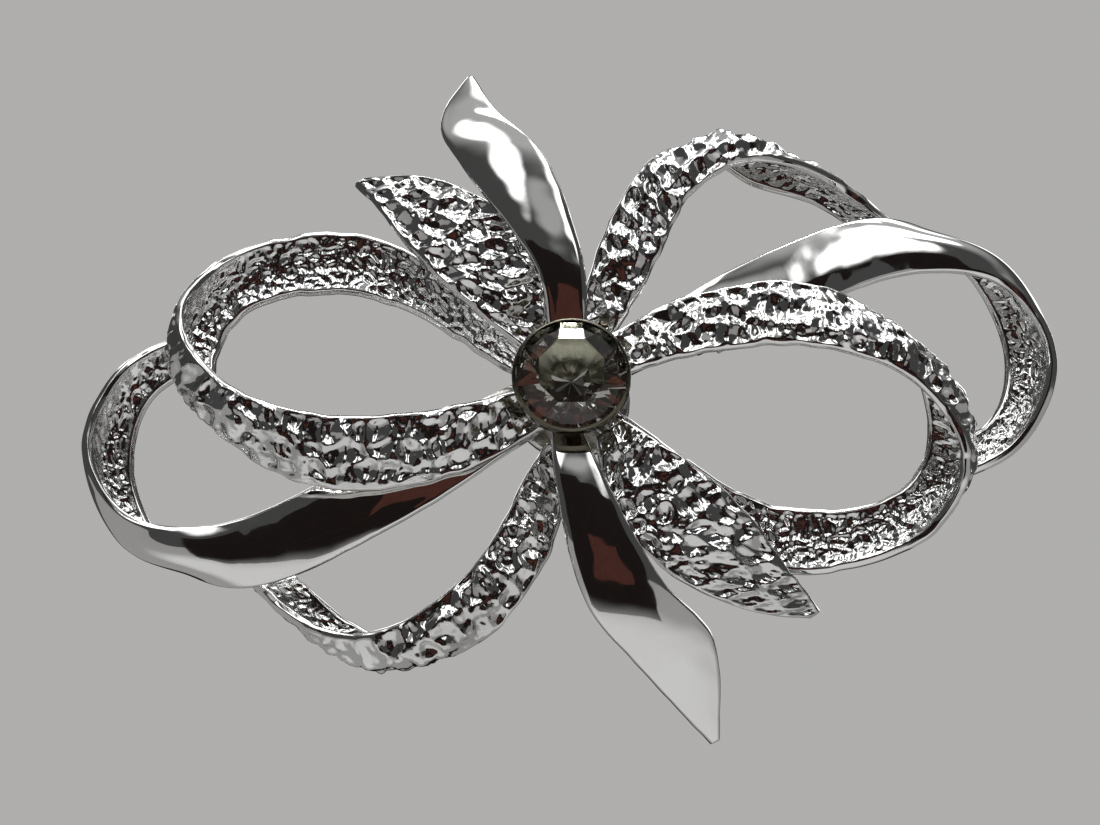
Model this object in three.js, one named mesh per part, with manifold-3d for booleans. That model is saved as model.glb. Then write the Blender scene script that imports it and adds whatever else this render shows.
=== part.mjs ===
// A bow brooch, in millimetres, +Z up and the show side facing -Y.
// Ten bent and soldered metal ribbons stand round a hub; a faceted stone in a
// cone-shaped cup sits in the middle, and a hinged pin with a rotating safety
// catch is fixed behind them. The origin is the middle of the pin bar's rear
// face, which is where the brooch lies against a garment.
import * as THREE from 'three';
import * as BufferGeometryUtils from 'three/addons/utils/BufferGeometryUtils.js';
import Module from 'manifold-3d';

const wasm = await Module();
wasm.setup();

// ---- driving dimensions ----
const SHEET = 0.9; // ribbon thickness
const SECTION_STEPS = 4; // facets across a ribbon
const BAR_LENGTH = 25.4; // a one-inch pin bar
const BAR_WIDTH = 3.4;
const BAR_THICKNESS = 0.8;
const BAR_PAD = 0.15; // embossed middle of the bar
const BAR_TILT = 27; // degrees, the catch end is higher
const PIN_ABOVE_CENTRE = 2; // the pin bar lies above the bow's centre
const HUB_RADIUS = 4.6;
const HUB_FRONT = -0.55; // along Y, from the plane of the back ribbons
const HUB_BACK = 0.45;
const HUB_EDGE = 0.2; // bevel round the hub's front
const POST_RADIUS = 3;
const POST_FRONT = -3;
const JOINT_GAP = 0.05; // between pieces that are soldered face to face
const STONE_RADIUS = 4.35;
const CUP_WALL = 0.22; // outside the stone
const CUP_LIP = 0.1; // folded over the stone's edge
const LIP_HEIGHT = 0.5; // of the lip's edge, in front of the stone's girdle
const LIP_ROUND = 0.12; // of the lip's rounded top
const CUP_BEHIND = 0.42; // from the stone's pavilion to the cup's inside
const CUP_FOOT_RADIUS = 1;
const FOIL_GAP = 0.08;
const FOIL_THICKNESS = 0.14;
const FOIL_SHORT = 0.1; // of the stone's edge
const CROWN_HEIGHT = 1.5;
const GIRDLE_HEIGHT = 0.2;
const TABLE_SHARE = 0.6; // table radius over stone radius
const STEM_HEIGHT = 3; // stem axis behind the bar's rear face
const STEM_RADIUS = 0.45;
const HINGE_X = -11.2; // along the bar
const CATCH_X = 11.2;
const EAR_INSIDE = 1.4; // between the hinge ears
const EAR_THICKNESS = 0.5;
const FOOT_THICKNESS = 0.45;
const CATCH_RADIUS = 1.8;
const CATCH_BORE = 1.16;
const CATCH_LENGTH = 1.4;
const CATCH_SLOT = 1.4;
const FOOT_LENGTH = 2.6;
const CATCH_FOOT_WIDTH = 2.5;
const NECK_WIDTH = 1.9;
const CHEEK_WIDTH = 0.5;
const CHEEK_HEIGHT = 0.75;
const MOUTH_DEPTH = 2;
const LEVER_RADIUS = 1.06;
const LEVER_BORE = 0.64;
const TAB_THICKNESS = 0.45;
const TAB_WIDTH = 0.7;
const TAB_LENGTH = 1.4;
const TAB_END_RADIUS = 0.5;
const TAB_END_REACH = 1.9; // from the lever's axis
const SEAT_GAP = 0.03; // between plates and rivet heads that lie on each other
const HOLE_GAP = 0.05; // round a rivet in its hole
const TURNING_GAP = 0.06; // between pieces that turn on each other
const HEAD_HEIGHT = 0.3; // of a rivet's head
const STEM_PAST_CATCH = 2.1;
const STEM_TAPER = 4;

// ---- ribbons ----
// A ribbon is set out at the few places where its shape changes. Each place
// gives the middle of the strip, its width, the direction across it, and how far
// the strip bulges outward there. The direction across is a clock angle, in
// degrees from +X towards +Z, and a lean, in degrees towards the back. The bow's
// centre is (0, 0, 0) here, and y = 0 is the plane of the back ribbons.
function place(middle, width, clock, lean, bulge = 0) {
  const turn = THREE.MathUtils.degToRad(clock);
  const tip = THREE.MathUtils.degToRad(lean);
  const flat = Math.cos(tip);
  const across = new THREE.Vector3(flat * Math.cos(turn), Math.sin(tip), flat * Math.sin(turn));
  const centre = new THREE.Vector3(...middle);
  return {
    first: centre.clone().addScaledVector(across, -width / 2),
    second: centre.clone().addScaledVector(across, width / 2),
    bulge,
  };
}

// Out in front, round the turn and back behind, to the hub again.
const LOOP = [
  place([-3, -5, -2], 3.5, -60, 10),
  place([-9, -5.2, -4.5], 5, -80, 15, 0.3),
  place([-18.5, -5, -5.5], 5.5, -90, 15, 0.4),
  place([-26, -3.8, -2], 4.5, -80, 35, 1.5),
  place([-29, -2, 4.5], 5, -45, 45, 2.2),
  place([-26, -0.8, 9.5], 4.5, -65, 15, 0.6),
  place([-15.5, -0.2, 11], 5, -95, 0, 0.3),
  place([-3, -1.5, 2], 2, -115, 0),
];

// The same, lower and further out; its free end stops behind the first loop.
const OUTER_LOOP = [
  place([-3, -3, -2.5], 2, -60, 0),
  place([-14.5, -2.5, -8], 5.5, -75, 5, 0.4),
  place([-26, -0.5, -12.5], 5, -75, 15, 0.8),
  place([-33, 1, -10], 4, -30, 45, 1.8),
  place([-36, 1.5, -4], 4.5, -15, 40, 1.6),
  place([-34, 1.5, 2], 3.5, -50, 25, 0.5),
  place([-29, 1.5, 5], 3, -90, 5),
];

// Up from the hub, over an arched turn, and down to a free end.
const UPPER_ARC = [
  place([1.3, -1.9, 3.3], 1.5, 175, 0),
  place([3.2, -2, 8.5], 4, 155, 0, 0.2),
  place([5.3, -1.9, 13.5], 4.8, 140, 5, 0.3),
  place([8, -1.5, 18], 4.5, 130, 15, 0.6),
  place([12, -0.2, 20], 4.5, 150, 40, 1.8),
  place([16, 0.7, 19], 4.5, 190, 40, 2),
  place([20.5, 1.4, 17.5], 3.5, 190, 30, 0.6),
  place([23.5, 1.8, 15.5], 3.5, 180, 20),
];

// Rounder than the upper arc, and a little shorter.
const LOWER_ARC = [
  place([-1.2, -1.9, -4], 1.5, -10, 0),
  place([-2, -2, -7.5], 3.5, -30, 0, 0.2),
  place([-3.5, -1.9, -11.5], 4.2, -35, 5, 0.3),
  place([-6.3, -1.5, -15.7], 4.5, -45, 12, 0.6),
  place([-10.3, -0.6, -18.5], 4.5, -35, 32, 1.5),
  place([-14.5, 0.4, -19], 4.5, -5, 42, 2),
  place([-19, 1.1, -17.3], 4, 15, 36, 1.2),
  place([-23, 1.8, -14], 3.5, 20, 20),
];

// Tails widen from the hub and end in a point, curling to the back.
const UPPER_POLISHED_TAIL = [
  place([-0.3, -5.2, 4], 3, 180, 0),
  place([-0.8, -6, 9], 3.5, 190, 0, 0.2),
  place([-5.1, -4.5, 18], 6.2, 190, 6, 0.4),
  place([-8, -2.1, 22.5], 4.6, 190, 8, 0.3),
  place([-8, 2, 27.5], 0.5, 190, 0),
];

const LOWER_POLISHED_TAIL = [
  place([-0.3, -5.2, -4], 2.5, 0, 0),
  place([0.5, -6, -7.5], 3.5, 10, 0, 0.2),
  place([4, -5, -16.5], 6, 15, 0, 0.4),
  place([8, -2.5, -20.5], 6, 25, 0, 0.3),
  place([11, 2, -26.5], 0.7, 30, 0),
];

const TEXTURED_TAIL = [
  place([-2.5, -4.2, 3.5], 2.5, 210, 0),
  place([-5, -4.5, 8], 6.5, 210, 0, 0.2),
  place([-8.5, -4, 12.3], 7.8, 205, 3, 0.4),
  place([-13, -2, 16.5], 5, 200, 5, 0.3),
  place([-16.6, 0, 18], 0.9, 210, 0),
];

function railThrough(points) {
  return new THREE.CatmullRomCurve3(points, false, 'centripetal');
}

// Middle surface of a ribbon: a row of points across it at each step along it.
function middleSurface(stations, stepsPerStation) {
  const first = railThrough(stations.map((s) => s.first));
  const second = railThrough(stations.map((s) => s.second));
  const bulge = railThrough(stations.map((s, i) => new THREE.Vector3(i, s.bulge, 0)));
  const steps = (stations.length - 1) * stepsPerStation;
  const rows = [];
  for (let i = 0; i <= steps; i += 1) {
    const t = i / steps;
    const a = first.getPoint(t);
    const b = second.getPoint(t);
    const along = first.getTangent(t).add(second.getTangent(t));
    const outward = along.cross(b.clone().sub(a)).normalize();
    const lift = outward.multiplyScalar(Math.max(0, bulge.getPoint(t).y));
    const control = a.clone().add(b).multiplyScalar(0.5).addScaledVector(lift, 2);
    const across = new THREE.QuadraticBezierCurve3(a, control, b);
    rows.push(across.getPoints(SECTION_STEPS));
  }
  return rows;
}

function surfaceNormal(rows, i, j) {
  const along = rows[Math.min(i + 1, rows.length - 1)][j].clone();
  along.sub(rows[Math.max(i - 1, 0)][j]);
  const across = rows[i][Math.min(j + 1, SECTION_STEPS)].clone();
  across.sub(rows[i][Math.max(j - 1, 0)]);
  return along.cross(across).normalize();
}

// A closed strip of even thickness: outer skin, inner skin, two rims, two ends.
function ribbonGeometry(stations, stepsPerStation) {
  const rows = middleSurface(stations, stepsPerStation);
  const width = SECTION_STEPS + 1;
  const skinSize = rows.length * width;
  const positions = [];
  for (const side of [0.5, -0.5]) {
    rows.forEach((row, i) => {
      row.forEach((point, j) => {
        const p = point.clone().addScaledVector(surfaceNormal(rows, i, j), side * SHEET);
        positions.push(p.x, p.y, p.z);
      });
    });
  }
  const outer = (i, j) => i * width + j;
  const inner = (i, j) => skinSize + i * width + j;
  const faces = [];
  const quad = (a, b, c, d) => faces.push(a, b, c, a, c, d);
  for (let i = 0; i < rows.length - 1; i += 1) {
    for (let j = 0; j < SECTION_STEPS; j += 1) {
      quad(outer(i, j), outer(i + 1, j), outer(i + 1, j + 1), outer(i, j + 1));
      quad(inner(i, j), inner(i, j + 1), inner(i + 1, j + 1), inner(i + 1, j));
    }
    quad(outer(i, 0), inner(i, 0), inner(i + 1, 0), outer(i + 1, 0));
    quad(outer(i, SECTION_STEPS), outer(i + 1, SECTION_STEPS),
      inner(i + 1, SECTION_STEPS), inner(i, SECTION_STEPS));
  }
  const last = rows.length - 1;
  for (let j = 0; j < SECTION_STEPS; j += 1) {
    quad(outer(0, j), outer(0, j + 1), inner(0, j + 1), inner(0, j));
    quad(outer(last, j), inner(last, j), inner(last, j + 1), outer(last, j + 1));
  }
  const geometry = new THREE.BufferGeometry();
  geometry.setAttribute('position', new THREE.Float32BufferAttribute(positions, 3));
  geometry.setIndex(faces);
  return geometry;
}

// ---- materials ----
function metal(color, roughness) {
  return new THREE.MeshStandardMaterial({ color, roughness, metalness: 1 });
}

const polished = metal(0xd9d8d2, 0.08);
const textured = metal(0xcfcec8, 0.22);
const plated = metal(0xc4c1b8, 0.2);
const cupMetal = metal(0xa39a82, 0.25);
const steel = metal(0xd4d4d6, 0.15);
const foilMetal = metal(0x8f8a7c, 0.3);
const glass = new THREE.MeshStandardMaterial({ color: 0x8c8b7e, roughness: 0.03, metalness: 0 });

function mesh(name, geometry, material) {
  const piece = new THREE.Mesh(geometry, material);
  piece.name = name;
  return piece;
}

// ---- the bow ----
const bow = new THREE.Group();

function addRibbon(name, stations, stepsPerStation, material) {
  const piece = mesh(name, ribbonGeometry(stations, stepsPerStation), material);
  bow.add(piece);
  return piece;
}

// The bow repeats itself after half a turn about its own centre. Bent by hand,
// a few copies come out larger or smaller, or turned a few degrees further.
function addHalfTurned(name, stations, stepsPerStation, material, larger = 1, further = 0) {
  const piece = addRibbon(name, stations, stepsPerStation, material);
  piece.scale.set(larger, 1, larger);
  piece.rotation.y = THREE.MathUtils.degToRad(180 - further);
}

addRibbon('left_textured_loop', LOOP, 5, textured);
addHalfTurned('right_textured_loop', LOOP, 5, textured);
addRibbon('left_polished_loop', OUTER_LOOP, 5, polished);
addHalfTurned('right_polished_loop', OUTER_LOOP, 5, polished);
addRibbon('upper_arc', UPPER_ARC, 4, textured);
addRibbon('lower_arc', LOWER_ARC, 4, textured);
addRibbon('upper_polished_tail', UPPER_POLISHED_TAIL, 4, polished);
addRibbon('lower_polished_tail', LOWER_POLISHED_TAIL, 4, polished);
addRibbon('upper_textured_tail', TEXTURED_TAIL, 4, textured);
addHalfTurned('lower_textured_tail', TEXTURED_TAIL, 4, textured, 1.03, 5);

// ---- hub and stone setting, turned about the Y axis ----
function turned(profile, segments) {
  const points = profile.map(([r, y]) => new THREE.Vector2(r, y));
  return new THREE.LatheGeometry(points, segments);
}

// The stone's pavilion is the cone y = CULET + PAVILION_SLOPE * r.
const CULET = -3.75;
const PAVILION_SLOPE = -0.78;
const GIRDLE = CULET + PAVILION_SLOPE * STONE_RADIUS;
const TABLE = GIRDLE - CROWN_HEIGHT;
const pavilion = (r, back) => [r, CULET + PAVILION_SLOPE * r + back];

bow.add(mesh('hub_plate', turned([
  [0, HUB_FRONT],
  [HUB_RADIUS - HUB_EDGE, HUB_FRONT],
  [HUB_RADIUS, HUB_FRONT + HUB_EDGE],
  [HUB_RADIUS, HUB_BACK],
  [0, HUB_BACK],
], 40), plated));

bow.add(mesh('centre_post', turned([
  [0, POST_FRONT],
  [POST_RADIUS, POST_FRONT],
  [POST_RADIUS, HUB_FRONT - JOINT_GAP],
  [0, HUB_FRONT - JOINT_GAP],
], 24), plated));

bow.add(mesh('stone_cup', turned([
  [0, CULET + CUP_BEHIND],
  pavilion(STONE_RADIUS + CUP_WALL / 2, CUP_BEHIND),
  [STONE_RADIUS + CUP_WALL / 2, GIRDLE - GIRDLE_HEIGHT],
  [STONE_RADIUS - CUP_LIP, GIRDLE - LIP_HEIGHT],
  [STONE_RADIUS - CUP_LIP / 2, GIRDLE - LIP_HEIGHT - LIP_ROUND],
  [STONE_RADIUS + CUP_WALL / 2, GIRDLE - LIP_HEIGHT],
  [STONE_RADIUS + CUP_WALL, GIRDLE - GIRDLE_HEIGHT],
  [STONE_RADIUS + CUP_WALL, GIRDLE + LIP_HEIGHT],
  [CUP_FOOT_RADIUS, POST_FRONT - JOINT_GAP],
  [0, POST_FRONT - JOINT_GAP],
], 40), cupMetal));

bow.add(mesh('stone_foil', turned([
  pavilion(0, FOIL_GAP),
  pavilion(STONE_RADIUS - FOIL_SHORT, FOIL_GAP),
  pavilion(STONE_RADIUS - FOIL_SHORT, FOIL_GAP + FOIL_THICKNESS),
  pavilion(0, FOIL_GAP + FOIL_THICKNESS),
], 16), foilMetal));

bow.add(mesh('stone', turned([
  [0, TABLE],
  [STONE_RADIUS * TABLE_SHARE, TABLE],
  [STONE_RADIUS, GIRDLE - GIRDLE_HEIGHT],
  [STONE_RADIUS, GIRDLE],
  [0, CULET],
], 16), glass));

bow.position.set(0, -BAR_THICKNESS - BAR_PAD - HUB_BACK, -PIN_ABOVE_CENTRE);

// ---- pin back: x runs along the bar, towards the catch ----
const pinBack = new THREE.Group();

function solid(geometry) {
  const bare = geometry.clone();
  bare.deleteAttribute('normal');
  bare.deleteAttribute('uv');
  const merged = BufferGeometryUtils.mergeVertices(bare, 1e-4);
  return new wasm.Manifold(new wasm.Mesh({
    numProp: 3,
    vertProperties: new Float32Array(merged.attributes.position.array),
    triVerts: new Uint32Array(merged.index.array),
  }));
}

function geometryOf(body) {
  const { vertProperties, triVerts } = body.getMesh();
  const geometry = new THREE.BufferGeometry();
  geometry.setAttribute('position', new THREE.BufferAttribute(vertProperties, 3));
  geometry.setIndex(new THREE.BufferAttribute(triVerts, 1));
  return geometry;
}

function block(width, depth, height, x, y, z) {
  return solid(new THREE.BoxGeometry(width, depth, height).translate(x, y, z));
}

// A turned piece whose axis is along the bar: profile points are [radius, x].
function turnedAlongBar(profile, segments) {
  return turned(profile, segments).rotateZ(-Math.PI / 2);
}

function plate(shape, thickness) {
  return new THREE.ExtrudeGeometry(shape, { depth: thickness, bevelEnabled: false, curveSegments: 12 });
}

function roundHole(x, y, radius) {
  return new THREE.Path().absarc(x, y, radius, 0, 2 * Math.PI, true);
}

// Bar: a stadium with a rivet hole at each end and an embossed middle.
const RIVET_RADIUS = 0.5;
const barOutline = new THREE.Shape();
const barEnd = (BAR_LENGTH - BAR_WIDTH) / 2;
barOutline.absarc(barEnd, 0, BAR_WIDTH / 2, -Math.PI / 2, Math.PI / 2);
barOutline.absarc(-barEnd, 0, BAR_WIDTH / 2, Math.PI / 2, 1.5 * Math.PI);
barOutline.holes.push(roundHole(HINGE_X, 0, RIVET_RADIUS + HOLE_GAP));
barOutline.holes.push(roundHole(CATCH_X, 0, RIVET_RADIUS + HOLE_GAP));
const barSheet = solid(plate(barOutline, BAR_THICKNESS).rotateX(-Math.PI / 2)
  .translate(0, -BAR_THICKNESS - BAR_PAD, 0));
const barPad = block(BAR_LENGTH * 0.5, BAR_PAD + 0.2, BAR_WIDTH * 0.6, 0, -(BAR_PAD + 0.2) / 2, 0);
pinBack.add(mesh('pin_bar', geometryOf(barSheet.add(barPad)), plated));

// Rivets that hold the hinge and the catch to the bar, heads on both sides.
const FOOT_TOP = -BAR_PAD + SEAT_GAP + FOOT_THICKNESS;
function barRivet(name, x) {
  const front = -BAR_THICKNESS - BAR_PAD - SEAT_GAP;
  const back = FOOT_TOP + SEAT_GAP;
  const body = turned([
    [0, front - HEAD_HEIGHT],
    [RIVET_RADIUS, front - HEAD_HEIGHT],
    [RIVET_RADIUS + 0.4, front],
    [RIVET_RADIUS, front],
    [RIVET_RADIUS, back],
    [RIVET_RADIUS + 0.15, back],
    [RIVET_RADIUS, back + 0.2],
    [0, back + 0.2],
  ], 16);
  pinBack.add(mesh(name, body.translate(x, 0, 0), steel));
}
barRivet('hinge_bar_rivet', HINGE_X);
barRivet('catch_bar_rivet', CATCH_X);

// Foot plate of the hinge bracket or the catch, with the rivet's hole in it.
function foot(x, length, width) {
  const outline = new THREE.Shape();
  outline.moveTo(x - length / 2, -width / 2);
  outline.lineTo(x + length / 2, -width / 2);
  outline.lineTo(x + length / 2, width / 2);
  outline.lineTo(x - length / 2, width / 2);
  outline.holes.push(roundHole(x, 0, RIVET_RADIUS + HOLE_GAP));
  return solid(plate(outline, FOOT_THICKNESS).rotateX(-Math.PI / 2)
    .translate(0, FOOT_TOP - FOOT_THICKNESS, 0));
}

// Hinge bracket: a foot and two round-topped ears bored for the hinge rivet.
const HINGE_PIN_RADIUS = 0.42;
const HINGE_HEAD_RADIUS = HINGE_PIN_RADIUS + 0.3;
function hingeEar(z) {
  const half = 1.1;
  const outline = new THREE.Shape();
  outline.moveTo(HINGE_X - half, FOOT_TOP - 0.2);
  outline.lineTo(HINGE_X + half, FOOT_TOP - 0.2);
  outline.absarc(HINGE_X, STEM_HEIGHT, half, 0, Math.PI);
  outline.holes.push(roundHole(HINGE_X, STEM_HEIGHT, HINGE_PIN_RADIUS + HOLE_GAP));
  return solid(plate(outline, EAR_THICKNESS).translate(0, 0, z));
}
const bracket = foot(HINGE_X, FOOT_LENGTH, EAR_INSIDE + 2 * EAR_THICKNESS)
  .add(hingeEar(EAR_INSIDE / 2))
  .add(hingeEar(-EAR_INSIDE / 2 - EAR_THICKNESS));
pinBack.add(mesh('hinge_bracket', geometryOf(bracket), plated));

const rivetEnd = EAR_INSIDE / 2 + EAR_THICKNESS + SEAT_GAP;
const hingeRivet = turned([
  [0, -rivetEnd - HEAD_HEIGHT],
  [HINGE_PIN_RADIUS, -rivetEnd - HEAD_HEIGHT],
  [HINGE_HEAD_RADIUS, -rivetEnd],
  [HINGE_PIN_RADIUS, -rivetEnd],
  [HINGE_PIN_RADIUS, rivetEnd],
  [HINGE_HEAD_RADIUS, rivetEnd],
  [HINGE_PIN_RADIUS, rivetEnd + HEAD_HEIGHT],
  [0, rivetEnd + HEAD_HEIGHT],
], 16);
hingeRivet.rotateX(Math.PI / 2).translate(HINGE_X, STEM_HEIGHT, 0);
pinBack.add(mesh('hinge_rivet', hingeRivet, steel));

// Stem: a flattened eye on the hinge rivet, a round wire and a tapered point.
const EYE_RADIUS = 1.1;
const EYE_WIDTH = EAR_INSIDE - 0.2;
const STEM_TIP = CATCH_X + STEM_PAST_CATCH - HINGE_X;
const STEM_ROOT = EYE_RADIUS - 0.35; // inside the eye's rim
const eyeOutline = new THREE.Shape().absarc(0, 0, EYE_RADIUS, 0, 2 * Math.PI);
eyeOutline.holes.push(roundHole(0, 0, HINGE_PIN_RADIUS + TURNING_GAP));
const eye = solid(plate(eyeOutline, EYE_WIDTH).translate(0, 0, -EYE_WIDTH / 2));
const wire = solid(turnedAlongBar([
  [0, STEM_ROOT],
  [STEM_RADIUS, STEM_ROOT],
  [STEM_RADIUS, STEM_TIP - STEM_TAPER],
  [STEM_RADIUS * 0.75, STEM_TIP - STEM_TAPER * 0.4],
  [0.06, STEM_TIP],
  [0, STEM_TIP],
], 14));
const stem = geometryOf(eye.add(wire)).translate(HINGE_X, STEM_HEIGHT, 0);
pinBack.add(mesh('pin_stem', stem, steel));

// Catch: a short tube on a foot, slotted behind to let the stem drop in.
const tube = turnedAlongBar([
  [CATCH_BORE, -CATCH_LENGTH / 2],
  [CATCH_RADIUS, -CATCH_LENGTH / 2],
  [CATCH_RADIUS, CATCH_LENGTH / 2],
  [CATCH_BORE, CATCH_LENGTH / 2],
  [CATCH_BORE, -CATCH_LENGTH / 2],
], 28).translate(CATCH_X, STEM_HEIGHT, 0);
const neckTop = STEM_HEIGHT - CATCH_BORE - 0.15;
const neckBottom = FOOT_TOP + 0.35;
const neckMiddle = (neckTop + neckBottom) / 2;
const neck = block(CATCH_LENGTH, neckTop - neckBottom, NECK_WIDTH, CATCH_X, neckMiddle, 0);
// A cheek on each side of the rivet's head joins the neck to the foot.
const CHEEK_OFFSET = 1;
const cheeks = [-CHEEK_OFFSET, CHEEK_OFFSET].map(
  (z) => block(CATCH_LENGTH, CHEEK_HEIGHT, CHEEK_WIDTH, CATCH_X, FOOT_TOP + 0.2, z),
);
const mouthY = STEM_HEIGHT + MOUTH_DEPTH * 0.75;
const mouth = block(CATCH_LENGTH + 1, MOUTH_DEPTH, CATCH_SLOT, CATCH_X, mouthY, 0);
const catchBody = foot(CATCH_X, FOOT_LENGTH, CATCH_FOOT_WIDTH)
  .add(neck)
  .add(cheeks[0])
  .add(cheeks[1])
  .add(solid(tube))
  .subtract(mouth);
pinBack.add(mesh('catch', geometryOf(catchBody), plated));

// Safety lever: a slotted spool that turns inside the catch, with a thumb tab.
const LEVER_FLANGE = 1.5;
const SPOOL_COLLAR = 0.3; // along the axis, at the spool's inner end
const inFlange = CATCH_LENGTH / 2 + TURNING_GAP;
const spool = turnedAlongBar([
  [LEVER_BORE, -inFlange - SPOOL_COLLAR],
  [LEVER_FLANGE - 0.15, -inFlange - SPOOL_COLLAR],
  [LEVER_FLANGE, -inFlange],
  [LEVER_RADIUS, -inFlange],
  [LEVER_RADIUS, inFlange],
  [LEVER_FLANGE, inFlange],
  [LEVER_FLANGE, inFlange + TAB_THICKNESS],
  [LEVER_BORE, inFlange + TAB_THICKNESS],
  [LEVER_BORE, -inFlange - SPOOL_COLLAR],
], 28);
const tabX = inFlange + TAB_THICKNESS / 2;
const TAB_MIDDLE = 1.5; // from the lever's axis
const tab = block(TAB_THICKNESS, TAB_WIDTH, TAB_LENGTH, tabX, 0, -TAB_MIDDLE);
const tabEnd = solid(new THREE.CylinderGeometry(TAB_END_RADIUS, TAB_END_RADIUS, TAB_THICKNESS, 16)
  .rotateZ(Math.PI / 2).translate(tabX, 0, -TAB_END_REACH));
const leverSlot = block(4, 2, CATCH_SLOT - 0.2, 0, 1.2, 0);
const lever = solid(spool).add(tab).add(tabEnd).subtract(leverSlot);
const leverGeometry = geometryOf(lever).translate(CATCH_X, STEM_HEIGHT, 0);
pinBack.add(mesh('safety_lever', leverGeometry, steel));

pinBack.rotation.y = THREE.MathUtils.degToRad(-BAR_TILT);

const brooch = new THREE.Group();
brooch.add(bow, pinBack);

export default brooch;
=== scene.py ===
"""Looks for a bow brooch: bent chromed ribbons, a stone on foil and a pin with a safety catch."""
import math
import bpy
import bmesh
import numpy as np
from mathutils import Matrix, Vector


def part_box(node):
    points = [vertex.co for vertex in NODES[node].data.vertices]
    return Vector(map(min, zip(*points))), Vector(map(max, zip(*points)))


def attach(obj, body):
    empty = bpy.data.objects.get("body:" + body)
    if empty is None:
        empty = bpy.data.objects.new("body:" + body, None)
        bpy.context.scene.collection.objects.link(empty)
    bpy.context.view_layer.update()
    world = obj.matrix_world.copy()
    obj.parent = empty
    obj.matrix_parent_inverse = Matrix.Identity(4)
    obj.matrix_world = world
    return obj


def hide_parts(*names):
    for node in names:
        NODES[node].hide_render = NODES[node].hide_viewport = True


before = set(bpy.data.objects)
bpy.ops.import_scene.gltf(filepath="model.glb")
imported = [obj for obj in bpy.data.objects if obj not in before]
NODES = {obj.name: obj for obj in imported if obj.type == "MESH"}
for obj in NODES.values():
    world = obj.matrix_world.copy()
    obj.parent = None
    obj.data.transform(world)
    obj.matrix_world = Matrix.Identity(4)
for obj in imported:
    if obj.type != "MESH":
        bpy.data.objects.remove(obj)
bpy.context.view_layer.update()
MM = 0.001

# The middle of the bow, on the plane of its back ribbons.
HUB_FRONT = 0.55 * MM  # from that plane forward to the front of the hub plate
hub_low, hub_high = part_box("hub_plate")
hub_middle = (hub_low + hub_high) / 2
BOW = Vector((hub_middle.x, hub_low.y + HUB_FRONT, hub_middle.z))


# ---- materials ----
def new_material(name):
    """A node material with only its output and a Principled shader."""
    material = bpy.data.materials.new(name)
    material.use_nodes = True
    nodes = material.node_tree.nodes
    nodes.clear()
    output = nodes.new("ShaderNodeOutputMaterial")
    shader = nodes.new("ShaderNodeBsdfPrincipled")
    material.node_tree.links.new(shader.outputs["BSDF"], output.inputs["Surface"])
    return material, shader


def noise_node(material, scale, detail=3.0):
    """A noise texture in object coordinates; scale is in cycles per metre."""
    tree = material.node_tree
    where = tree.nodes.new("ShaderNodeTexCoord")
    noise = tree.nodes.new("ShaderNodeTexNoise")
    noise.inputs["Scale"].default_value = scale
    noise.inputs["Detail"].default_value = detail
    tree.links.new(where.outputs["Object"], noise.inputs["Vector"])
    return noise


def ramp_node(material, source, stops):
    """Turns a noise value into a colour or a grey: stops are (position, colour)."""
    tree = material.node_tree
    ramp = tree.nodes.new("ShaderNodeValToRGB")
    while len(ramp.color_ramp.elements) < len(stops):
        ramp.color_ramp.elements.new(0.5)
    for element, (position, colour) in zip(ramp.color_ramp.elements, stops):
        element.position = position
        element.color = (*colour, 1) if len(colour) == 3 else colour
    tree.links.new(source, ramp.inputs["Fac"])
    return ramp


def grey(value):
    return (value, value, value)


TINT_CYCLES = 160  # per metre, of the slow change of tint over plated metal
SMUDGE_CYCLES = 420  # per metre, of the marks of handling
GRAIN_HEIGHT = 0.05 * MM


def metal(name, clean, dull, roughness, smudged, bump, bump_scale):
    """Plated metal: a slight tint change, uneven gloss from handling, and fine surface bumps."""
    material, shader = new_material(name)
    tree = material.node_tree
    shader.inputs["Metallic"].default_value = 1
    cloud = noise_node(material, TINT_CYCLES)
    tint = ramp_node(material, cloud.outputs["Fac"], [(0.35, clean), (0.72, dull)])
    tree.links.new(tint.outputs["Color"], shader.inputs["Base Color"])
    smudge = noise_node(material, SMUDGE_CYCLES, 5)
    glosses = [(0.4, grey(roughness)), (0.75, grey(smudged))]
    gloss = ramp_node(material, smudge.outputs["Fac"], glosses)
    tree.links.new(gloss.outputs["Color"], shader.inputs["Roughness"])
    grain = noise_node(material, bump_scale, 4)
    lift = tree.nodes.new("ShaderNodeBump")
    lift.inputs["Strength"].default_value = bump
    lift.inputs["Distance"].default_value = GRAIN_HEIGHT
    tree.links.new(grain.outputs["Fac"], lift.inputs["Height"])
    tree.links.new(lift.outputs["Normal"], shader.inputs["Normal"])
    return material


CHROME = metal("polished_chrome", (0.80, 0.80, 0.79), (0.76, 0.755, 0.74), 0.035, 0.09, 0.05, 900)
CAST = metal("textured_chrome", (0.80, 0.80, 0.80), (0.62, 0.62, 0.605), 0.05, 0.11, 0.25, 4200)
RIM = metal("rim_chrome", (0.80, 0.80, 0.79), (0.74, 0.73, 0.71), 0.05, 0.12, 0.12, 2500)
BACKING = metal("plated_back", (0.70, 0.69, 0.66), (0.58, 0.56, 0.52), 0.14, 0.3, 0.3, 3600)
# Painted shade: the cup's metal is darkened almost to black to stand in for its shadowed rim. Its faint
# gold tint is the metal's own.
SHADED_CUP = metal("cup_metal", (0.20, 0.185, 0.14), (0.07, 0.065, 0.05), 0.14, 0.36, 0.4, 3000)
STEEL = metal("drawn_steel", (0.74, 0.74, 0.75), (0.66, 0.66, 0.67), 0.1, 0.22, 0.3, 5200)
SOLDER = metal("solder", (0.62, 0.61, 0.58), (0.45, 0.44, 0.42), 0.25, 0.45, 0.4, 2600)
FOIL = metal("mirror_foil", (0.84, 0.84, 0.74), (0.66, 0.66, 0.56), 0.22, 0.36, 0.2, 1500)


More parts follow.
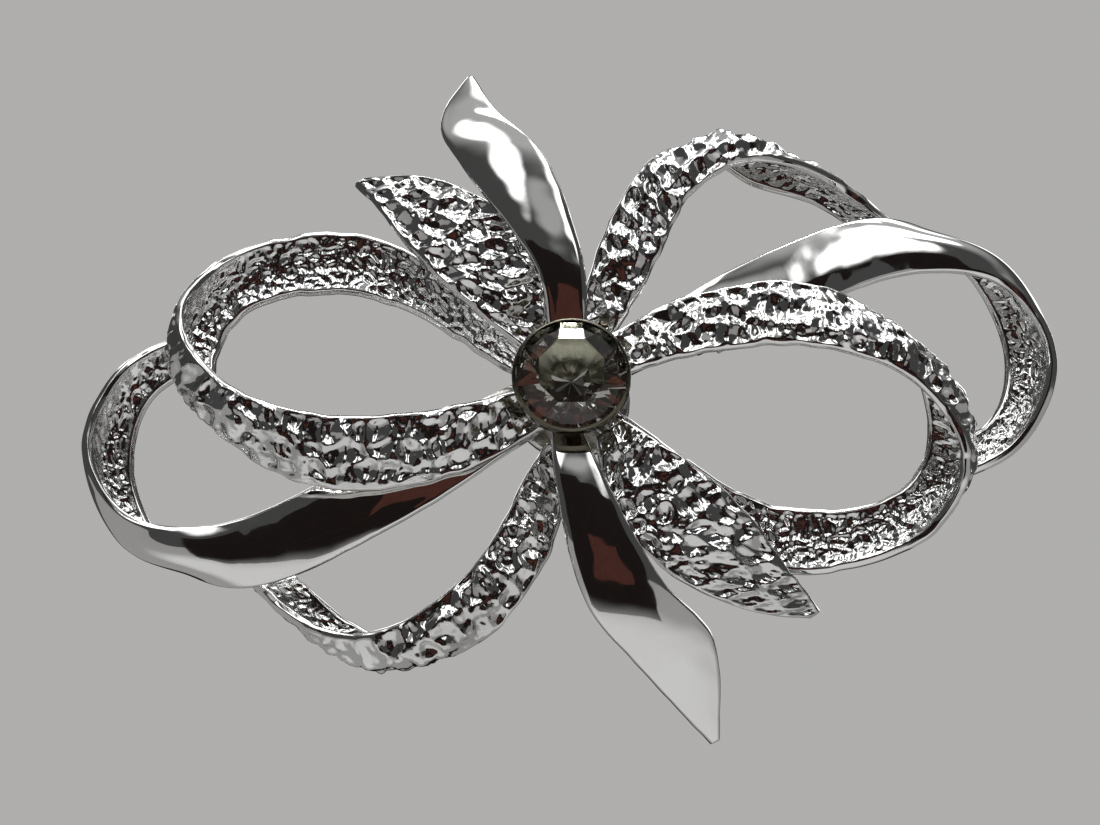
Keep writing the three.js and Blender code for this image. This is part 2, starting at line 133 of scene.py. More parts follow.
# ---- smooth random fields ----
LATTICE = (97, 89)  # random values along and across, before they repeat
CELLS = (101, 103)  # dimples along and across, before they repeat


def value_noise(x, y, seed):
    """Smooth noise from -1 to 1 at points x, y, with one cycle in about two units."""
    lattice = np.random.default_rng(seed).uniform(-1, 1, LATTICE)
    x0, y0 = np.floor(x).astype(int), np.floor(y).astype(int)
    fx, fy = x - x0, y - y0
    fx, fy = fx**3 * (fx * (fx * 6 - 15) + 10), fy**3 * (fy * (fy * 6 - 15) + 10)

    def at(i, j):
        return lattice[(x0 + i) % LATTICE[0], (y0 + j) % LATTICE[1]]

    near = at(0, 0) * (1 - fx) + at(1, 0) * fx
    far = at(0, 1) * (1 - fx) + at(1, 1) * fx
    return near * (1 - fy) + far * fy


def dimples(x, y, size, seed, jitter=0.8, share=1.0):
    """Round dimples about size apart, from 0 between them to 1 at the deepest. jitter moves them off
    their grid, and share is how many of the grid's places hold one."""
    draw = np.random.default_rng(seed)
    shift = draw.uniform(-0.5, 0.5, (*CELLS, 2)) * jitter
    radius = draw.uniform(0.42, 0.72, CELLS)
    depth = draw.uniform(0.45, 1.0, CELLS) * (draw.uniform(0, 1, CELLS) < share)
    x, y = x / size, y / size
    x0, y0 = np.floor(x).astype(int), np.floor(y).astype(int)
    deepest = np.zeros_like(x)
    for i in (-1, 0, 1):
        for j in (-1, 0, 1):
            a, b = (x0 + i) % CELLS[0], (y0 + j) % CELLS[1]
            dx = x - (x0 + i + 0.5 + shift[a, b, 0])
            dy = y - (y0 + j + 0.5 + shift[a, b, 1])
            inside = np.clip(1 - (dx * dx + dy * dy) / radius[a, b] ** 2, 0, 1)
            deepest = np.maximum(deepest, depth[a, b] * inside**1.3)
    return deepest


def molten(along, across, size, seed):
    """Height of a wrinkled, molten-looking surface, in units of its coarse dimples' depth."""
    bend = 0.35 * size
    x = along + bend * value_noise(along / size, across / size, seed + 1)
    y = across + bend * value_noise(along / size + 31, across / size + 17, seed + 2)
    pits = dimples(x, y, size, seed + 3)
    pebbles = dimples(x + size * 0.5, y + size * 0.5, size * 0.8, seed + 4, share=0.45)
    crumbs = dimples(x, y, size * 0.42, seed + 5, share=0.7)
    swell = value_noise(along / (1.6 * size), across / (1.6 * size), seed + 6)
    return -pits + 0.55 * pebbles - 0.28 * crumbs + 0.25 * swell


def fade(distance, width):
    """0 at distance 0 and 1 from width on, smoothly."""
    t = np.clip(distance / width, 0, 1)
    return t * t * (3 - 2 * t)


# ---- ribbons ----
FACETS_ACROSS = 4  # of a CAD ribbon
SHARP = math.radians(50)  # a larger angle between faces is a ribbon's edge


def smooth_regions(bm):
    """Sets of faces that meet smoothly, the largest first."""
    seen, regions = set(), []
    for face in bm.faces:
        if face in seen:
            continue
        members, queue = set(), [face]
        while queue:
            f = queue.pop()
            if f in seen:
                continue
            seen.add(f)
            members.add(f)
            for edge in f.edges:
                if len(edge.link_faces) == 2 and edge.calc_face_angle() < SHARP:
                    queue += [g for g in edge.link_faces if g not in seen]
        regions.append(members)
    regions.sort(key=len, reverse=True)
    return regions


def middle_of(faces):
    return sum((f.calc_center_median() for f in faces), Vector()) / len(faces)


def steps_from(start, allowed):
    """How many edges away from the points of start each allowed point lies."""
    found, reached, steps = {v: 0 for v in start}, list(start), 0
    while reached:
        steps += 1
        following = []
        for v in reached:
            for e in v.link_edges:
                w = e.other_vert(v)
                if w in allowed and w not in found:
                    found[w] = steps
                    following.append(w)
        reached = following
    return found


def border_edges(faces):
    edges = set(e for f in faces for e in f.edges)
    return [e for e in edges if sum(f in faces for f in e.link_faces) == 1]


def rim_from(corner, row, border):
    """The points along a skin's rim, from a corner at the hub to the far end."""
    chain = [corner]
    while True:
        onward = [e.other_vert(chain[-1]) for e in chain[-1].link_edges if e in border]
        onward = [v for v in onward if row[v] == row[chain[-1]] + 1]
        if not onward:
            return chain
        chain.append(onward[0])


def skins(node):
    """A CAD ribbon's two skins, each as a grid of points with its summed normal and its spread.
    Rows of a grid start at the hub, and columns go from rim to rim."""
    bm = bmesh.new()
    bm.from_mesh(node.data)
    bmesh.ops.remove_doubles(bm, verts=bm.verts, dist=0.001 * MM)
    bm.faces.ensure_lookup_table()
    regions = smooth_regions(bm)
    caps = [r for r in regions if len(r) == 2 * FACETS_ACROSS]
    cap = min(caps, key=lambda r: (middle_of(r) - BOW).length)
    cap_points = set(v for f in cap for v in f.verts)
    grids, first_corner = [], None
    for faces in regions[:2]:
        skin = set(v for f in faces for v in f.verts)
        start = skin & cap_points
        row = steps_from(start, skin)
        border = border_edges(faces)
        hub_edges = [e for e in border if all(v in start for v in e.verts)]
        corners = [v for v in start if sum(v in e.verts for e in hub_edges) == 1]
        if first_corner is None:
            first_corner = min(corners, key=lambda v: v.co.y + 0.3 * v.co.z).co.copy()
        corner = min(corners, key=lambda v: (v.co - first_corner).length)
        column = steps_from(rim_from(corner, row, border), skin)
        grid = np.zeros((max(row.values()) + 1, max(column.values()) + 1, 3))
        if grid.shape[0] * grid.shape[1] != len(skin):
            raise ValueError(f"{node.name}: {grid.shape} doesn't hold {len(skin)} points")
        for v in skin:
            grid[row[v], column[v]] = v.co
        outward = sum((f.normal * f.calc_area() for f in faces), Vector())
        spread = sum((f.normal.dot(f.calc_center_median()) * f.calc_area() for f in faces))
        grids.append((grid, outward, spread))
    bm.free()
    return grids


def outer_and_inner(node, curls):
    """The skins in order: the outer one is outside on a ribbon that curls, and in front on a flat one."""
    first, second = skins(node)
    centre = (first[0].mean((0, 1)) + second[0].mean((0, 1))) / 2

    def rank(entry):
        grid, outward, spread = entry
        if curls:
            return -(spread - Vector(centre).dot(outward))
        return outward.y

    first, second = sorted((first, second), key=rank)
    return first[0], second[0]


def spline_rows(grid, t):
    """Uniform cubic B-spline through the rows of a grid, at row numbers t."""
    padded = np.concatenate([2 * grid[:1] - grid[1:2], grid, 2 * grid[-1:] - grid[-2:-1]])
    i = np.clip(np.floor(t).astype(int), 0, len(grid) - 2)
    f = (t - i)[:, None, None]
    weights = [(1 - f) ** 3, 3 * f**3 - 6 * f**2 + 4, -3 * f**3 + 3 * f**2 + 3 * f + 1, f**3]
    return sum(w * padded[i + k] for k, w in enumerate(weights)) / 6


def spread_evenly(length, pitch, edge, edge_pitch):
    """Distances from 0 to length, about pitch apart, closer together within edge of both ends."""
    edge = min(edge, length / 4)
    few = max(2, round(edge / edge_pitch))
    many = max(2, round((length - 2 * edge) / pitch))
    start = np.linspace(0, edge, few + 1)
    middle = np.linspace(edge, length - edge, many + 1)[1:-1]
    return np.concatenate([start, middle, length - start[::-1]])


def unit(v):
    return v / np.maximum(np.linalg.norm(v, axis=-1, keepdims=True), 1e-12)


EDGE = 0.3  # mm beside every rim and end, where the mesh is closer and the skins are rounded
EDGE_PITCH = 0.07  # mm
ROUNDING = 0.33  # of the thickness, taken off each side of a rim
LIP = 0.07  # of the thickness, by which a rim's middle stands out
WOBBLE_LENGTH = 1.3  # mm
WOBBLE_DEPTH = 1.4  # mm in from a rim, to where its wobble has died away
OTHER_SIDE = 80  # mm off in the same pattern, where the inner skin takes its relief
OUTER, INNER, RIMS = range(3)  # material slots
RIM_QUADS = 3  # on either skin, beside each rim, that look like the rim


class Ribbon:
    """A ribbon rebuilt finely from its CAD skins, with rounded rims and a relief on either side."""

    def __init__(self, name, curls, pitch, seed):
        self.node = NODES[name]
        self.seed = seed
        outer, inner = outer_and_inner(self.node, curls)
        outer, inner = outer / MM, inner / MM
        middle = (outer + inner) / 2
        self.thickness = float(np.linalg.norm(outer - inner, axis=-1).mean())
        centre_line = middle[:, middle.shape[1] // 2]
        gaps = np.linalg.norm(np.diff(centre_line, axis=0), axis=1)
        reach = np.concatenate([[0], np.cumsum(gaps)])
        self.length = reach[-1]
        self.along = spread_evenly(self.length, pitch, EDGE, EDGE_PITCH)
        rows = spline_rows(middle, np.interp(self.along, reach, np.arange(len(reach))))
        columns = np.linspace(0, 1, middle.shape[1])
        widest = np.linalg.norm(middle[:, 0] - middle[:, -1], axis=-1).max()
        v = spread_evenly(widest, pitch, EDGE, EDGE_PITCH) / widest
        # Across the ribbon, a cubic is fitted to the CAD's few columns.
        fit = np.vander(v, 4) @ np.linalg.pinv(np.vander(columns, 4))
        self.middle = np.einsum("ck,rkx->rcx", fit, rows)
        self.v = v
        self.facing = float(np.sign(np.sum((outer - inner) * self.cross_normals(middle))))

    def cross_normals(self, grid):
        along = np.gradient(grid, axis=0)
        across = np.gradient(grid, axis=1)
        return unit(np.cross(along, across))

    def build(self, outer_relief, inner_relief, rim_wobble, materials_used):
        """outer_relief and inner_relief give a height in mm from (along, across, seed)."""
        middle = self.middle
        width = np.linalg.norm(np.diff(middle, axis=1), axis=-1).sum(1)[:, None]
        across = self.v[None, :] * width
        along = np.broadcast_to(self.along[:, None], across.shape)
        to_rim = np.minimum(across, width - across)
        to_end = np.minimum(along, self.length - along)
        sideways = unit(middle[:, -1:] - middle[:, :1])
        rim_side = along * 0 + 5.3 * np.round(self.v)[None, :]  # so that the two rims differ
        lean = rim_wobble * value_noise(along / WOBBLE_LENGTH, rim_side, self.seed + 40)
        near_rim = 1 - fade(to_rim, np.minimum(WOBBLE_DEPTH, width * 0.4))
        middle = middle + sideways * (lean * near_rim * fade(to_end, 1.5))[..., None]
        normal = self.cross_normals(middle) * self.facing
        radius = np.minimum(EDGE, 0.4 * width)
        edge = np.minimum(np.clip(to_rim / radius, 0, 1), np.clip(to_end / EDGE, 0, 1))
        rounding = self.thickness * ROUNDING * (1 - np.sqrt(1 - (1 - edge) ** 2))
        half = self.thickness / 2 - rounding
        mask = fade(to_rim - 0.12, np.minimum(0.55, width * 0.3)) * fade(to_end - 0.1, 0.5)
        skins_made = []
        for side, relief, shift in ((1, outer_relief, 0), (-1, inner_relief, OTHER_SIDE)):
            height = half + relief(along, across + shift, self.seed) * mask
            skins_made.append(middle + normal * (side * height)[..., None])
        return self.mesh(*skins_made, half, normal, middle, materials_used)

    def mesh(self, outer, inner, half, normal, middle, materials_used):
        """One closed mesh of both skins, rims and ends. Its rings go round the ribbon: over the outer
        skin, down one rim, back over the inner skin and up the other rim."""
        rows, columns = outer.shape[:2]
        lip = LIP * self.thickness

        def rim(column, direction):
            out = unit(middle[:, column] - middle[:, column - direction])
            return middle[:, column] + out * lip, normal[:, column] * half[:, column, None] * 0.5

        left, left_up = rim(0, -1)
        right, right_up = rim(columns - 1, 1)
        ring = np.concatenate([
            outer,
            (right + right_up)[:, None],
            (right - right_up)[:, None],
            inner[:, ::-1],
            (left - left_up)[:, None],
            (left + left_up)[:, None],
        ], axis=1)
        around = ring.shape[1]
        level, place = np.meshgrid(np.arange(rows - 1), np.arange(around), indexing="ij")
        here, beyond = level * around, (level + 1) * around
        following = (place + 1) % around
        faces = np.stack([here + place, here + following, beyond + following, beyond + place], axis=-1)
        materials = np.full((rows - 1, around), RIMS)
        first, last = RIM_QUADS, columns - 1 - RIM_QUADS
        materials[:, first:last] = OUTER
        materials[:, columns + 2 + first:columns + 2 + last] = INNER
        quads = faces.reshape(-1, 4)
        column = np.arange(columns - 1)
        opposite = 2 * columns + 1 - column
        caps = []
        for row, flip in ((0, False), (rows - 1, True)):
            cap = np.stack([column, opposite, opposite - 1, column + 1], axis=-1) + row * around
            caps.append(cap[:, ::-1] if flip else cap)
            end_rims = [[0, around - 1, around - 2, opposite[0]],
                        [columns - 1, opposite[-1] - 1, columns + 1, columns]]
            end_rims = np.array(end_rims) + row * around
            caps.append(end_rims[:, ::-1] if flip else end_rims)
        quads = np.concatenate([quads, *caps])
        materials = np.concatenate([materials.ravel(), np.full(len(quads) - materials.size, RIMS)])
        if self.facing < 0:
            quads = quads[:, ::-1]
        piece = piece_from(self.node.name + "_look", ring.reshape(-1, 3) * MM, quads, smooth=True)
        for material in materials_used:
            piece.data.materials.append(material)
        piece.data.polygons.foreach_set("material_index", materials.astype(np.int32))
        return piece


def piece_from(name, points, faces, smooth):
    """A new mesh object from points in metres and quad faces."""
    mesh = bpy.data.meshes.new(name)
    mesh.from_pydata(np.asarray(points).tolist(), [], np.asarray(faces).tolist())
    mesh.polygons.foreach_set("use_smooth", [smooth] * len(mesh.polygons))
    mesh.update()
    piece = bpy.data.objects.new(name, mesh)
    bpy.context.scene.collection.objects.link(piece)
    return piece


COARSE_SIZE = 1.85  # mm from one dimple of the show side to the next
FINE_SIZE = 0.8  # mm, on the inner side
FINE_DEPTH = 0.2  # mm


def coarse(along, across, seed):
    """Round cupped dimples in loose rows, with beads on the ridges and small grains over all."""
    size = COARSE_SIZE
    x = along + 0.3 * value_noise(along / size, across / size, seed + 1)
    y = across + 0.3 * value_noise(along / size + 31, across / size + 17, seed + 2)
    cups = dimples(x, y, size, seed + 3, jitter=0.6)
    beads = dimples(x + size / 2, y + size / 2, size, seed + 4, jitter=0.7, share=0.7)
    pips = dimples(x, y, size * 0.5, seed + 5, jitter=0.9, share=0.6)
    grains = dimples(along, across, 0.42, seed + 7, share=0.5)
    swell = value_noise(along / 2.6, across / 2.6, seed + 6)
    return -0.5 * cups + 0.3 * beads**1.5 + 0.2 * pips - 0.07 * grains + 0.06 * swell


def fine(along, across, seed):
    return FINE_DEPTH * molten(along, across, FINE_SIZE, seed + 20)


def hand_finish(along, across, seed):
    """The faint waves that bending and buffing leave in a polished face."""
    long_waves = value_noise(along / 3.1, across / 2.6, seed)
    short_waves = value_noise(along / 1.3, across / 1.4, seed + 9)
    return 0.03 * long_waves + 0.012 * short_waves


ROOTS = []  # where each ribbon starts, at the hub


def dress_ribbon(name, curls, outer, inner, wobble, materials, pitch, seed):
    """Builds a fine ribbon in place of a CAD one and hangs it on the brooch."""
    ribbon = Ribbon(name, curls, pitch, seed)
    ROOTS.append(Vector(ribbon.middle[0].mean(0)) * MM)
    piece = ribbon.build(outer, inner, wobble, materials)
    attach(piece, "brooch")
    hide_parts(name)


def textured(name, curls, seed):
    """A ribbon with a coarse show side, a finer inner side and uneven rims."""
    materials = [CAST, CAST, RIM]
    dress_ribbon(name, curls, coarse, fine, 0.1, materials, FINE_PITCH, seed)


def polished_loop(name, seed):
    """A loop with a buffed outside and a textured inside."""
    materials = [CHROME, CAST, RIM]
    dress_ribbon(name, True, hand_finish, fine, 0.03, materials, FINE_PITCH, seed)


def polished_tail(name, seed):
    """A tail that is buffed on both sides."""
    materials = [CHROME, CHROME, RIM]
    dress_ribbon(name, False, hand_finish, hand_finish, 0.03, materials, SMOOTH_PITCH, seed)


# Between mesh rows, in mm.
FINE_PITCH = 0.125
SMOOTH_PITCH = 0.24
textured("left_textured_loop", True, 7)
textured("right_textured_loop", True, 107)
textured("upper_arc", True, 207)
textured("lower_arc", True, 307)
textured("upper_textured_tail", False, 507)
textured("lower_textured_tail", False, 607)
polished_loop("left_polished_loop", 807)
polished_loop("right_polished_loop", 907)
polished_tail("upper_polished_tail", 1107)
polished_tail("lower_polished_tail", 1207)

SOLDER_SIZE = (3.2, 1.1, 3.2)  # mm, half of the mound's width, depth and height
SOLDER_IN_FRONT = 1.8 * MM  # of the plane of the back ribbons
SOLDER_ARMS = 40  # the higher, the narrower the solder drawn out to each root
SOLDER_REACH = 0.97  # of the way to a root
SOLDER_LUMPS = 0.06  # of the mound's size


def solder_pool(name):
    """The solder round the post, behind the cup: a lumpy mound, drawn out to every ribbon's root."""
    centre = BOW - Vector((0, SOLDER_IN_FRONT, 0))
    bm = bmesh.new()
    bmesh.ops.create_icosphere(bm, subdivisions=6, radius=1)
    way = unit(np.array([v.co[:] for v in bm.verts]))
    roots = np.array([root - centre for root in ROOTS]) / MM
    near = np.clip(way @ unit(roots).T, 0, 1) ** SOLDER_ARMS
    drawn = (near * np.linalg.norm(roots, axis=1)).max(axis=1)
    lumps = value_noise(way[:, 0] * 4 + 9, way[:, 2] * 4 + way[:, 1] * 3 + 9, 61)
    size = np.array(SOLDER_SIZE) * (1 + SOLDER_LUMPS * lumps[:, None])
    mound = way * size
    reach = np.linalg.norm(mound, axis=1, keepdims=True)
    mound = mound * np.maximum(1, SOLDER_REACH * drawn[:, None] / reach)
    for v, point in zip(bm.verts, mound):
        v.co = centre + Vector(point) * MM
    mesh = bpy.data.meshes.new(name)
    bm.to_mesh(mesh)
    bm.free()
    mesh.polygons.foreach_set("use_smooth", [True] * len(mesh.polygons))
    mesh.materials.append(SOLDER)
    piece = bpy.data.objects.new(name, mesh)
    bpy.context.scene.collection.objects.link(piece)
    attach(piece, "brooch")


solder_pool("solder_pool")


# ---- stone ----
def glass():
    """Clear pressed glass with a faint grey-olive cast and a few fine surface marks."""
    material, shader = new_material("stone_glass")
    tree = material.node_tree
    cloud = noise_node(material, 700, 2)
    tints = [(0.3, (0.80, 0.80, 0.74)), (0.7, (0.72, 0.72, 0.66))]
    tint = ramp_node(material, cloud.outputs["Fac"], tints)
    tree.links.new(tint.outputs["Color"], shader.inputs["Base Color"])
    marks = noise_node(material, 2600, 4)
    gloss = ramp_node(material, marks.outputs["Fac"], [(0.55, grey(0.0)), (0.8, grey(0.04))])
    tree.links.new(gloss.outputs["Color"], shader.inputs["Roughness"])
    shader.inputs["Transmission Weight"].default_value = 1
    shader.inputs["IOR"].default_value = 1.54
    return material


def ring_of(count, radius, y, turn=0.0):
    """Points round the Y axis through the bow's middle; turn is in steps between points."""
    angles = [2 * math.pi * (i + turn) / count for i in range(count)]
    return [(BOW.x + radius * math.sin(a), y, BOW.z + radius * math.cos(a)) for a in angles]


def round_cut(name, table_y, table_radius, girdle_y, girdle_radius, band, waist_y, waist_radius, culet_y):
    """A pressed round stone: an octagonal table, eight broad crown facets with eight narrow ones
    between them, a thin girdle, and a pavilion of eight mains and sixteen halves."""
    table_ring = ring_of(8, table_radius, table_y, 0.5)
    crown_ring = ring_of(16, girdle_radius, girdle_y, 0.5)
    pavilion_ring = ring_of(16, girdle_radius, girdle_y + band, 0.5)
    waist_ring = ring_of(8, waist_radius, waist_y, 0.25)
    points = table_ring + crown_ring + pavilion_ring + waist_ring + [(BOW.x, culet_y, BOW.z)]
    crown = len(table_ring)
    pavilion = crown + len(crown_ring)
    waist = pavilion + len(pavilion_ring)
    tip = waist + len(waist_ring)
    faces = [tuple(range(8))]
    for i in range(8):
        j = (i + 1) % 8
        edge = 2 * i
        following = (edge + 1) % 16
        after = (edge + 2) % 16
        faces.append((i, crown + edge, crown + following))
        faces.append((i, crown + following, crown + after, j))
        faces.append((pavilion + edge, waist + i, pavilion + following))
        faces.append((pavilion + following, waist + i, waist + j))
        faces.append((pavilion + following, waist + j, pavilion + after))
        faces.append((waist + i, tip, waist + j))
    for i in range(16):
        j = (i + 1) % 16
        faces.append((crown + i, pavilion + i, pavilion + j, crown + j))
    mesh = bpy.data.meshes.new(name)
    mesh.from_pydata(points, [], faces)
    bm = bmesh.new()
    bm.from_mesh(mesh)
    bmesh.ops.recalc_face_normals(bm, faces=bm.faces)
    bmesh.ops.bevel(bm, geom=list(bm.edges), offset=FACET_EDGE, segments=1, affect="EDGES")
    bm.to_mesh(mesh)
    bm.free()
    piece = bpy.data.objects.new(name, mesh)
    bpy.context.scene.collection.objects.link(piece)
    return piece


FACET_EDGE = 0.025 * MM  # pressed glass has slightly rounded edges
CROWN = 1.5 * MM
GIRDLE_BAND = 0.12 * MM
TABLE_SHARE = 0.62  # of the stone's radius, as the next two
GIRDLE_SHARE = 0.995
WAIST_SHARE = 0.36
WAIST_DOWN = 0.62  # of the pavilion's depth, to where its mains meet
stone_low, stone_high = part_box("stone")
STONE_RADIUS = (stone_high.x - stone_low.x) / 2
GIRDLE_Y = stone_low.y + CROWN
stone = round_cut(
    "stone_cut",
    table_y=stone_low.y,
    table_radius=STONE_RADIUS * TABLE_SHARE,
    girdle_y=GIRDLE_Y - GIRDLE_BAND,
    girdle_radius=STONE_RADIUS * GIRDLE_SHARE,
    band=GIRDLE_BAND,
    waist_y=GIRDLE_Y + (stone_high.y - GIRDLE_Y) * WAIST_DOWN,
    waist_radius=STONE_RADIUS * WAIST_SHARE,
    culet_y=stone_high.y,
)
stone.data.materials.append(glass())
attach(stone, "brooch")
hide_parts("stone")
NODES["stone_foil"].data.materials.clear()
NODES["stone_foil"].data.materials.append(FOIL)


# ---- carried-over CAD nodes ----
BEVEL_FROM = math.radians(38)  # only sharper corners than this are rounded


def soften(node, width):
    """Small rounded corners on a CAD node, by modifiers only."""
    weld = node.modifiers.new("weld", "WELD")
    weld.merge_threshold = 0.001 * MM
    bevel = node.modifiers.new("bevel", "BEVEL")
    bevel.width = width
    bevel.segments = 2
    bevel.limit_method = "ANGLE"
    bevel.angle_limit = BEVEL_FROM
    bevel.harden_normals = True


def finish_node(name, material, corner):
    """Gives a CAD node its metal, smooth shading and rounded corners, whose size is in mm."""
    node = NODES[name]
    node.data.materials.clear()
    node.data.materials.append(material)
    node.data.polygons.foreach_set("use_smooth", [True] * len(node.data.polygons))
    soften(node, corner * MM)


finish_node("hub_plate", BACKING, 0.08)
finish_node("centre_post", BACKING, 0.08)
# The stone cup takes the cup metal, whose darkness is painted shade.
finish_node("stone_cup", SHADED_CUP, 0.05)
finish_node("pin_bar", BACKING, 0.06)
finish_node("hinge_bar_rivet", STEEL, 0.05)
finish_node("catch_bar_rivet", STEEL, 0.05)
finish_node("hinge_bracket", BACKING, 0.05)
finish_node("hinge_rivet", STEEL, 0.05)
finish_node("catch", BACKING, 0.05)
finish_node("pin_stem", STEEL, 0.04)
finish_node("safety_lever", STEEL, 0.04)


# ---- camera ----
VIEW_UP = math.radians(16)  # the camera looks up at the brooch by this
CAMERA_DISTANCE = 320 * MM
AIM_LEFT = 1.64 * MM  # the picture's middle, from the middle of the bow
AIM_BELOW = 0.82 * MM
RIGHT = Vector((1, 0, 0))
UP = Vector((0, -math.sin(VIEW_UP), math.cos(VIEW_UP)))
LOOK = Vector((0, math.cos(VIEW_UP), math.sin(VIEW_UP)))
AIM = BOW - RIGHT * AIM_LEFT - UP * AIM_BELOW
camera_data = bpy.data.cameras.new("camera")
camera_data.sensor_width = 36
camera_data.lens = 134.3
camera_data.clip_start = 0.01
camera = bpy.data.objects.new("camera", camera_data)
camera.location = AIM - LOOK * CAMERA_DISTANCE
camera.rotation_mode = "QUATERNION"
camera.rotation_quaternion = LOOK.to_track_quat("-Z", "Y")
bpy.context.scene.collection.objects.link(camera)
bpy.context.scene.camera = camera


# ---- floor, backdrop and light ----
def toward(azimuth, elevation):
    """Direction out from the brooch: azimuth 0 is straight in front of it, 90 to its right."""
    a, e = math.radians(azimuth), math.radians(elevation)
    return Vector((math.sin(a) * math.cos(e), -math.cos(a) * math.cos(e), math.sin(e)))


def studio_paper(name, light, dark, specular=0.5):
    """Matt paper or cloth with a faint fibre mottle."""
    material, shader = new_material(name)
    tree = material.node_tree
    fibres = noise_node(material, 60, 4)
    tint = ramp_node(material, fibres.outputs["Fac"], [(0.3, light), (0.7, dark)])
    tree.links.new(tint.outputs["Color"], shader.inputs["Base Color"])
    shader.inputs["Roughness"].default_value = 0.9
    shader.inputs["Specular IOR Level"].default_value = specular
    return material


def sheet_facing(name, azimuth, elevation, distance, width, height, material):
    """A flat studio sheet facing the brooch, which the camera itself doesn't see."""
    mesh = bpy.data.meshes.new(name)
    x, y = width / 2, height / 2
    mesh.from_pydata([(-x, -y, 0), (x, -y, 0), (x, y, 0), (-x, y, 0)], [], [(0, 1, 2, 3)])
    mesh.materials.append(material)
    sheet = bpy.data.objects.new(name, mesh)
    sheet.location = BOW + toward(azimuth, elevation) * distance
    sheet.rotation_mode = "QUATERNION"
    sheet.rotation_quaternion = (-toward(azimuth, elevation)).to_track_quat("Z", "Y")
    bpy.context.scene.collection.objects.link(sheet)
    sheet.visible_camera = False
    return sheet


def flag(name, azimuth, elevation, distance, width, height, material):
    """A dark flag. It darkens reflections and casts no shadow."""
    sheet = sheet_facing(name, azimuth, elevation, distance, width, height, material)
    sheet.visible_diffuse = False
    sheet.visible_shadow = False


SOFTBOX_CORE = 0.35  # of its half width and height, as bright as it gets


def softbox(name, azimuth, elevation, distance, wide, tall, radiance):
    """A diffused light whose brightness falls off towards its edges; wide and tall are in degrees.
    The pale room lights the floor evenly by itself, so a softbox only shows in reflections."""
    width = 2 * distance * math.tan(math.radians(wide / 2))
    height = 2 * distance * math.tan(math.radians(tall / 2))
    material = bpy.data.materials.new(name)
    material.use_nodes = True
    tree = material.node_tree
    tree.nodes.clear()
    where = tree.nodes.new("ShaderNodeTexCoord")
    scale = tree.nodes.new("ShaderNodeMapping")
    scale.inputs["Scale"].default_value = (2 / width, 2 / height, 1)
    tree.links.new(where.outputs["Object"], scale.inputs["Vector"])
    reach = tree.nodes.new("ShaderNodeVectorMath")
    reach.operation = "LENGTH"
    tree.links.new(scale.outputs["Vector"], reach.inputs[0])
    falloff = tree.nodes.new("ShaderNodeMapRange")
    falloff.interpolation_type = "SMOOTHSTEP"
    falloff.inputs["From Min"].default_value = SOFTBOX_CORE
    falloff.inputs["From Max"].default_value = 1.0
    falloff.inputs["To Min"].default_value = radiance
    falloff.inputs["To Max"].default_value = 0
    tree.links.new(reach.outputs["Value"], falloff.inputs["Value"])
    glow = tree.nodes.new("ShaderNodeEmission")
    tree.links.new(falloff.outputs["Result"], glow.inputs["Strength"])
    clear = tree.nodes.new("ShaderNodeBsdfTransparent")
    both = tree.nodes.new("ShaderNodeAddShader")
    tree.links.new(glow.outputs["Emission"], both.inputs[0])
    tree.links.new(clear.outputs["BSDF"], both.inputs[1])
    output = tree.nodes.new("ShaderNodeOutputMaterial")
    tree.links.new(both.outputs["Shader"], output.inputs["Surface"])
    sheet = sheet_facing(name, azimuth, elevation, distance, width, height, material)
    sheet.visible_diffuse = False


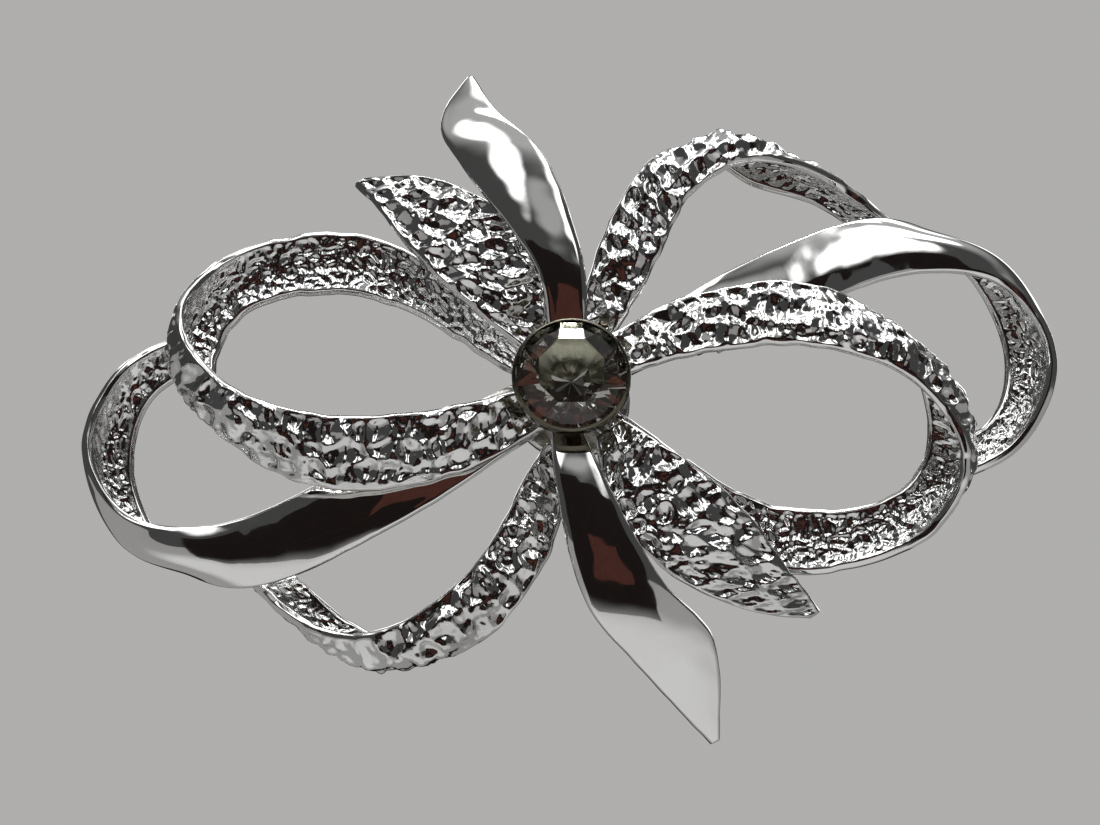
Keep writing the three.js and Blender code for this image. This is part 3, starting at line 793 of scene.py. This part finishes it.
def studio_world(seen, reflected):
    """A room that the camera sees, and that lights matt things, in one colour. Shiny things reflect
    it in another."""
    world = bpy.data.worlds.new("studio")
    world.use_nodes = True
    tree = world.node_tree
    backdrop = tree.nodes["Background"]
    backdrop.inputs["Color"].default_value = seen
    room = tree.nodes.new("ShaderNodeBackground")
    room.inputs["Color"].default_value = reflected
    seen_or_lit = tree.nodes.new("ShaderNodeMixShader")
    ray = tree.nodes.new("ShaderNodeLightPath")
    pale = tree.nodes.new("ShaderNodeMath")
    pale.operation = "MAXIMUM"
    tree.links.new(ray.outputs["Is Camera Ray"], pale.inputs[0])
    tree.links.new(ray.outputs["Is Diffuse Ray"], pale.inputs[1])
    tree.links.new(pale.outputs["Value"], seen_or_lit.inputs["Fac"])
    tree.links.new(room.outputs["Background"], seen_or_lit.inputs[1])
    tree.links.new(backdrop.outputs["Background"], seen_or_lit.inputs[2])
    tree.links.new(seen_or_lit.outputs["Shader"], tree.nodes["World Output"].inputs["Surface"])
    bpy.context.scene.world = world


FLOOR_DROP = 0.25  # metres below the middle of the bow
FLOOR_REACH = 4  # metres each way
floor_z = BOW.z - FLOOR_DROP
floor_mesh = bpy.data.meshes.new("floor")
corners = [(x * FLOOR_REACH, y * FLOOR_REACH, floor_z) for x, y in ((-1, -1), (1, -1), (1, 1), (-1, 1))]
floor_mesh.from_pydata(corners, [], [(0, 1, 2, 3)])
floor_mesh.materials.append(studio_paper("floor_paper", grey(0.80), grey(0.77)))
floor = bpy.data.objects.new("floor", floor_mesh)
bpy.context.scene.collection.objects.link(floor)

studio_world(seen=(0.43, 0.425, 0.42, 1), reflected=(0.06, 0.06, 0.06, 1))

# Azimuth and elevation, distance in metres, width and height in degrees, and radiance.
softbox("left_window", -20, 46, 0.8, 18, 44, 3)
softbox("right_window", 19, 42, 0.8, 16, 50, 3)
softbox("between_windows", 0, 34, 0.85, 30, 28, 0.35)
softbox("upper_left", -46, 66, 0.8, 30, 26, 4)
softbox("upper_right", 44, 66, 0.8, 30, 26, 4)
softbox("upper_back", 164, 68, 0.8, 34, 34, 4)
softbox("ceiling", 0, 84, 0.9, 100, 80, 0.4)
softbox("top_lamp", 0, 92, 0.78, 24, 14, 24)
softbox("floor_glow", 0, -66, 0.2, 120, 80, 0.33)
softbox("back_left_window", -158, 38, 0.8, 20, 44, 2.5)
softbox("back_right_window", 152, 30, 0.8, 18, 50, 2.5)

# Dark cloths in front of the brooch and behind it, and a brown one. Only the brooch reflects them.
DARK = studio_paper("dark_cloth", (0.020, 0.016, 0.016), (0.032, 0.022, 0.019), 0.05)
BROWN = studio_paper("brown_cloth", (0.19, 0.068, 0.050), (0.13, 0.046, 0.036), 0.1)
flag("dark_back", 180, -4, 0.42, 0.34, 0.34, DARK)
flag("dark_front", 0, -8, 0.36, 0.37, 0.40, DARK)
flag("brown_front", 4, -6, 0.355, 0.13, 0.10, BROWN)

bpy.context.scene.view_settings.view_transform = "Standard"
